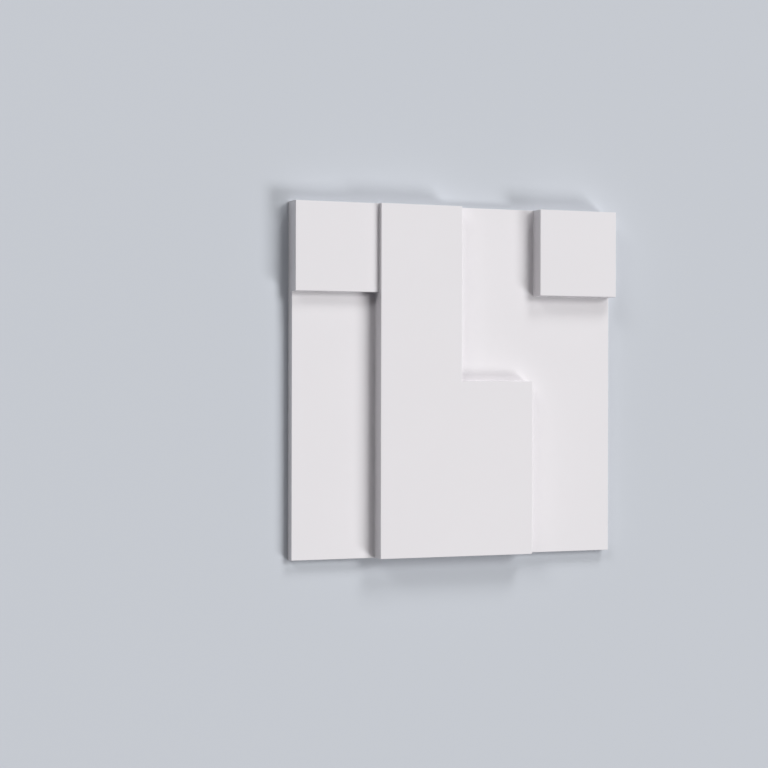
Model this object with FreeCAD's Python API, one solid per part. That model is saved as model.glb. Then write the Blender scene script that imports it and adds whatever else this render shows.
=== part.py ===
# Relief wall tile, moulded in one piece and glued flat to a wall, drawn face up.
# X runs to the right of the tile as it hangs, Y runs up the wall and Z runs out of its face.
# The origin is the middle of the glue face on the back.
# Raised plates stand on a thin backing plate: a column with a foot, shaped like an L,
# a square in the upper left corner and a taller square in the upper right corner.

import FreeCAD, Part
import math
import os

# Driving dimensions, in millimetres.
tile_side = 333.0          # both sides, so that nine tiles cover a square metre
backing_thickness = 10.0   # the lowest level of the face
left_square_level = 20.0   # height of the upper left square above the wall
column_level = 25.0        # height of the column and its foot above the wall
right_square_level = 25.0  # height of the upper right square above the wall
column_width = 83.25
column_inset = 83.25       # from the tile's left edge to the column
foot_length = 75.0         # how far the foot runs out of the column
foot_height = 166.5        # from the tile's bottom edge to the foot's ledge
left_square_drop = 83.25   # height of the upper left square
right_square_width = 83.25
right_square_drop = 83.25  # height of the upper right square
draft_angle = 1.0          # degrees that an inner wall leans, so that the mould lifts off
arris_radius = 0.3         # rounding of the top edges of the raised plates
corner_radius = 0.5        # rounding of the upright edges of the raised plates
root_radius = 0.5          # rounding where an inner wall meets the plate below it
rim_radius = 0.3           # rounding of the face along the tile's outer edge

overrun = 20.0             # how far past the rim the raised plates are made, to be cut off there
half_side = tile_side / 2
column_left = column_inset - half_side
column_right = column_left + column_width
column_middle = (column_left + column_right) / 2
foot_right = column_right + foot_length
ledge = foot_height - half_side
left_square_bottom = half_side - left_square_drop
right_square_left = half_side - right_square_width
right_square_bottom = half_side - right_square_drop
reach = half_side + overrun
sink = backing_thickness / 2      # how deep the raised plates start inside the backing
tolerance = 0.001                 # two places nearer than this are one
probe = 0.3                       # how far from an edge its sides are looked at
smooth_turn = math.radians(30)    # faces that turn by less than this meet smoothly


def leaning_outline(outline, rise):
    """Moves the sides of an anticlockwise outline inwards by the draft over a rise."""
    lean = rise * math.tan(math.radians(draft_angle))
    moved = [list(point) for point in outline]
    for index in range(len(outline)):
        start, end = outline[index - 1], outline[index]
        along = (end[0] - start[0], end[1] - start[1])
        length = math.hypot(*along)
        for corner in (index - 1, index):
            moved[corner][0] -= along[1] / length * lean
            moved[corner][1] += along[0] / length * lean
    return moved


def leaning_solid(outline, low_level, high_level):
    """Makes a solid that has the outline on top and flat walls that lean out on the way down."""
    low = [FreeCAD.Vector(x, y, low_level) for x, y in leaning_outline(outline, low_level - high_level)]
    high = [FreeCAD.Vector(x, y, high_level) for x, y in outline]
    sides = [low[::-1], high]
    for index in range(len(outline)):
        sides.append([low[index - 1], low[index], high[index], high[index - 1]])
    shell = Part.Shell([Part.Face(Part.makePolygon(corners + corners[:1])) for corners in sides])
    shell.sewShape()
    return Part.Solid(shell)


def is_hollow(solid, edge):
    """Says whether the two faces at an edge meet as in a recess, with material on either side."""
    middle = edge.valueAt((edge.FirstParameter + edge.LastParameter) / 2)
    first, second = [
        face.normalAt(*face.Surface.parameter(middle)) for face in solid.ancestorsOfType(edge, Part.Face)
    ]
    if first.getAngle(second) < smooth_turn:
        return False
    aside = (first - second) * probe
    return all(solid.isInside(middle + side, tolerance, True) for side in (aside, -aside))


def is_upright(edge):
    """Says whether an edge runs up a wall and lies within the tile."""
    box = edge.BoundBox
    within = abs(box.Center.x) < half_side and abs(box.Center.y) < half_side
    return within and box.ZLength > tolerance


def raised_plate(outline, level):
    """Makes a raised plate: its walls lean, and its upright and top edges are round."""
    solid = leaning_solid(outline, sink, level)
    corners = [edge for edge in solid.Edges if is_upright(edge) and not is_hollow(solid, edge)]
    solid = solid.makeFillet(corner_radius, corners)
    arrises = [edge for edge in solid.Edges if edge.BoundBox.ZMin > level - tolerance]
    return solid.makeFillet(arris_radius, arrises)


def make_steps():
    """Makes the raised plates of the face, still longer than the tile where they run out at its rim."""
    column_outline = [
        (column_left, -reach), (foot_right, -reach), (foot_right, ledge),
        (column_right, ledge), (column_right, reach), (column_left, reach),
    ]
    left_square_outline = [
        (-reach, left_square_bottom), (column_middle, left_square_bottom),
        (column_middle, reach), (-reach, reach),
    ]
    right_square_outline = [
        (right_square_left, right_square_bottom), (reach, right_square_bottom),
        (reach, reach), (right_square_left, reach),
    ]
    return [
        raised_plate(column_outline, column_level),
        raised_plate(left_square_outline, left_square_level),
        raised_plate(right_square_outline, right_square_level),
    ]


def is_on_rim(edge):
    """Says whether an edge of the face runs along the tile's outer edge."""
    box = edge.BoundBox
    sides = [(box.XMin, box.XMax), (box.YMin, box.YMax)]
    on_sides = [low for low, high in sides if high - low < tolerance and abs(abs(low) - half_side) < tolerance]
    return len(on_sides) == 1 and box.ZMax > tolerance


def square_block(height):
    """Makes a block as wide as the tile, standing on the glue face."""
    return Part.makeBox(tile_side, tile_side, height, FreeCAD.Vector(-half_side, -half_side, 0))


def make_tile():
    """Joins the raised plates to the backing, trims them at the rim and rounds roots and rim."""
    steps = make_steps()
    top = max(step.BoundBox.ZMax for step in steps)
    trimmed = [step.common(square_block(top)) for step in steps]
    tile = square_block(backing_thickness).multiFuse(trimmed).removeSplitter().Solids[0]
    tile = tile.makeFillet(root_radius, [edge for edge in tile.Edges if is_hollow(tile, edge)])
    return tile.makeFillet(rim_radius, [edge for edge in tile.Edges if is_on_rim(edge)])


os.makedirs("parts", exist_ok=True)
tile = make_tile()
print("valid:", tile.isValid(), "volume in cubic centimetres:", round(tile.Volume / 1000, 1))
print("faces:", len(tile.Faces), "solids:", len(tile.Solids))
tile.exportStep("parts/wall_tile.step")
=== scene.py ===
# A square relief wall tile, moulded in one piece and primed white, lying face up on a pale floor.
# X runs to the right of the tile as it hangs, Y runs up the wall and Z runs out of its face.
import math

import bpy
from mathutils import Matrix, Vector


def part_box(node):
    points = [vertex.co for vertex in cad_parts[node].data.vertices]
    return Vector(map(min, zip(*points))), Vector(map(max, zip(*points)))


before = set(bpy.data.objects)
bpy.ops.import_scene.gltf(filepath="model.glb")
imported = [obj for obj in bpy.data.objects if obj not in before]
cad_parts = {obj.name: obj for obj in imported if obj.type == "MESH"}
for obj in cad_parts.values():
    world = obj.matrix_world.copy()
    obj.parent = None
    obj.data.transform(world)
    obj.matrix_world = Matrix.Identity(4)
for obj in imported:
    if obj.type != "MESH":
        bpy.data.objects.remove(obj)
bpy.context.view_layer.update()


# The tile: one moulding of rigid high-density polyurethane, cast face down in a closed mould
# and sprayed with a matt white primer on its face and edges. Its back stays bare for the glue.
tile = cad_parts["wall_tile"]

millimetre = 0.001
primer_white = "#E6E3E6"
primer_shade = "#E3E0E3"
primer_roughness_low = 0.58
primer_roughness_high = 0.66
polyurethane_ior = 1.5
cloud_width = 45 * millimetre       # the coat is a little thicker and thinner over this width
cloud_detail = 2.0
spray_grain = 0.5 * millimetre
spray_height = 0.012 * millimetre
spray_detail = 3.0
foam_cream = "#E6DCC4"
# painted shade: the darker colour painted into the hollow of each foam cell
foam_painted_shade = "#D3C6A8"
foam_cell = 0.6 * millimetre
foam_roughness = 0.85
back_lean = -0.9                    # a face is the back where its normal's Z is below this


def from_hex(text):
    """Turns an sRGB hex colour into the linear colour that a shader takes."""
    channels = [int(text[place:place + 2], 16) / 255 for place in (1, 3, 5)]
    linear = [c / 12.92 if c <= 0.04045 else ((c + 0.055) / 1.055) ** 2.4 for c in channels]
    return (*linear, 1.0)


def add_node(tree, kind, settings=None, values=None, links=None):
    """Adds a node with its settings, its socket values and the sockets that feed it."""
    node = tree.nodes.new(kind)
    for name, value in (settings or {}).items():
        setattr(node, name, value)
    for name, value in (values or {}).items():
        node.inputs[name].default_value = value
    for name, socket in (links or {}).items():
        tree.links.new(socket, node.inputs[name])
    return node


def empty_material(name):
    """Makes a material with nothing in its node tree."""
    material = bpy.data.materials.new(name)
    material.use_nodes = True
    material.node_tree.nodes.clear()
    return material


def primed_polyurethane():
    """Primed polyurethane: a flat even white with the faint stipple of a sprayed coat.
    The glue face on the back has no primer and shows the cream foam with its closed cells."""
    material = empty_material("primed_polyurethane")
    tree = material.node_tree
    surface = add_node(tree, "ShaderNodeTexCoord")
    place = surface.outputs["Object"]

    # The primer: its tone and sheen hardly change, and the spray leaves a fine grain.
    clouds = add_node(tree, "ShaderNodeTexNoise",
                      values={"Scale": 1 / cloud_width, "Detail": cloud_detail}, links={"Vector": place})
    coat = add_node(tree, "ShaderNodeMix", {"data_type": "RGBA"},
                    values={"A": from_hex(primer_shade), "B": from_hex(primer_white)},
                    links={"Factor": clouds.outputs["Fac"]})
    sheen = add_node(tree, "ShaderNodeMapRange",
                     values={"To Min": primer_roughness_low, "To Max": primer_roughness_high},
                     links={"Value": clouds.outputs["Fac"]})
    stipple = add_node(tree, "ShaderNodeTexNoise",
                       values={"Scale": 1 / spray_grain, "Detail": spray_detail}, links={"Vector": place})

    # The bare foam: each closed cell is painted a little darker in its hollow, a painted shade where the
    # bump dips.
    cells = add_node(tree, "ShaderNodeTexVoronoi", values={"Scale": 1 / foam_cell}, links={"Vector": place})
    foam = add_node(tree, "ShaderNodeMix", {"data_type": "RGBA"},
                    values={"A": from_hex(foam_painted_shade), "B": from_hex(foam_cream)},
                    links={"Factor": cells.outputs["Distance"]})

    # The foam shows on the back, which faces straight away from the relief.
    facing = add_node(tree, "ShaderNodeSeparateXYZ", links={"Vector": surface.outputs["Normal"]})
    bare = add_node(tree, "ShaderNodeMath", {"operation": "LESS_THAN"}, values={1: back_lean},
                    links={0: facing.outputs["Z"]})
    colour = add_node(tree, "ShaderNodeMix", {"data_type": "RGBA"},
                      links={"Factor": bare.outputs["Value"], "A": coat.outputs["Result"],
                             "B": foam.outputs["Result"]})
    roughness = add_node(tree, "ShaderNodeMix", values={"B": foam_roughness},
                         links={"Factor": bare.outputs["Value"], "A": sheen.outputs["Result"]})
    grain = add_node(tree, "ShaderNodeMix",
                     links={"Factor": bare.outputs["Value"], "A": stipple.outputs["Fac"],
                            "B": cells.outputs["Distance"]})
    relief = add_node(tree, "ShaderNodeBump", values={"Distance": spray_height},
                      links={"Height": grain.outputs["Result"]})
    shader = add_node(tree, "ShaderNodeBsdfPrincipled", values={"IOR": polyurethane_ior},
                      links={"Base Color": colour.outputs["Result"],
                             "Roughness": roughness.outputs["Result"],
                             "Normal": relief.outputs["Normal"]})
    add_node(tree, "ShaderNodeOutputMaterial", links={"Surface": shader.outputs["BSDF"]})
    return material


tile.data.materials.clear()
tile.data.materials.append(primed_polyurethane())


# The floor: a plain pale sheet that the tile lies on, wide enough to fill every view.
# It isn't part of the tile.
floor_colour = "#C9CDD4"
floor_roughness = 0.9
floor_reach = 12.0
floor_gap = 0.1 * millimetre

floor_mesh = bpy.data.meshes.new("floor")
floor_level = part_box("wall_tile")[0].z - floor_gap
floor_corners = [(-floor_reach, -floor_reach, floor_level), (floor_reach, -floor_reach, floor_level),
                 (floor_reach, floor_reach, floor_level), (-floor_reach, floor_reach, floor_level)]
floor_mesh.from_pydata(floor_corners, [], [(0, 1, 2, 3)])
floor = bpy.data.objects.new("floor", floor_mesh)
bpy.context.scene.collection.objects.link(floor)
floor_material = empty_material("pale_floor")
floor_tree = floor_material.node_tree
floor_shader = add_node(floor_tree, "ShaderNodeBsdfPrincipled",
                        values={"Base Color": from_hex(floor_colour), "Roughness": floor_roughness})
add_node(floor_tree, "ShaderNodeOutputMaterial", links={"Surface": floor_shader.outputs["BSDF"]})
floor_mesh.materials.append(floor_material)


# The camera: it looks across the tile from its left, 22.5 degrees off square to the face.
camera_place = Vector((-771.9, -3.5, 1691.2)) * millimetre
camera_forward = Vector((0.383354, 0.000385, -0.923601))
camera_right = Vector((0.923599, 0.002197, 0.383354))
lens_width = 90.45
sensor_width = 36.0

camera_data = bpy.data.cameras.new("camera")
camera_data.lens = lens_width
camera_data.sensor_width = sensor_width
camera = bpy.data.objects.new("camera", camera_data)
camera_up = camera_right.cross(camera_forward)
camera_axes = Matrix((camera_right, camera_up, -camera_forward)).transposed()
camera.matrix_world = Matrix.Translation(camera_place) @ camera_axes.to_4x4()
bpy.context.scene.collection.objects.link(camera)
bpy.context.scene.camera = camera


# The light: four round soft lamps, far off in a dim pale studio. Two stand to the right of the
# tile and two beyond its top edge, so the steps throw soft shadows to the left and below.
studio_pale = "#C9CED5"
studio_white = "#FFFFFF"
studio_strength = 0.02

world = bpy.data.worlds.new("studio")
world.use_nodes = True
bpy.context.scene.world = world
studio = world.node_tree
studio.nodes.clear()
light_path = add_node(studio, "ShaderNodeLightPath")
seen_or_mirrored = add_node(studio, "ShaderNodeMath", {"operation": "MAXIMUM"},
                            links={0: light_path.outputs["Is Camera Ray"],
                                   1: light_path.outputs["Is Glossy Ray"]})
seen_at_all = add_node(studio, "ShaderNodeMath", {"operation": "MAXIMUM"},
                       links={0: seen_or_mirrored.outputs["Value"],
                              1: light_path.outputs["Is Transmission Ray"]})
dim = add_node(studio, "ShaderNodeBackground",
               values={"Color": from_hex(studio_white), "Strength": studio_strength})
pale = add_node(studio, "ShaderNodeBackground", values={"Color": from_hex(studio_pale)})
backdrop = add_node(studio, "ShaderNodeMixShader",
                    links={0: seen_at_all.outputs["Value"], 1: dim.outputs["Background"],
                           2: pale.outputs["Background"]})
add_node(studio, "ShaderNodeOutputWorld", links={"Surface": backdrop.outputs["Shader"]})


def add_lamp(name, bearing, height, half_angle, light):
    """Adds a round lamp, so far off that it lights the floor evenly. Its bearing runs from +X
    towards +Y, angles are in degrees, and light is in watts for each square metre."""
    towards = Vector((math.cos(math.radians(bearing)) * math.cos(math.radians(height)),
                      math.sin(math.radians(bearing)) * math.cos(math.radians(height)),
                      math.sin(math.radians(height))))
    lamp_data = bpy.data.lights.new(name, "SUN")
    lamp_data.angle = math.radians(2 * half_angle)
    lamp_data.energy = light
    lamp = bpy.data.objects.new(name, lamp_data)
    lamp.rotation_mode = "QUATERNION"
    lamp.rotation_quaternion = towards.to_track_quat("Z", "Y")
    bpy.context.scene.collection.objects.link(lamp)


add_lamp("high_right_lamp", bearing=33, height=58, half_angle=11, light=1.33)
add_lamp("low_right_lamp", bearing=-35, height=39, half_angle=10, light=1.46)
add_lamp("top_lamp", bearing=75, height=33, half_angle=10, light=0.96)
add_lamp("upper_left_lamp", bearing=136, height=32, half_angle=10, light=0.6)

bpy.context.scene.view_settings.view_transform = "Standard"
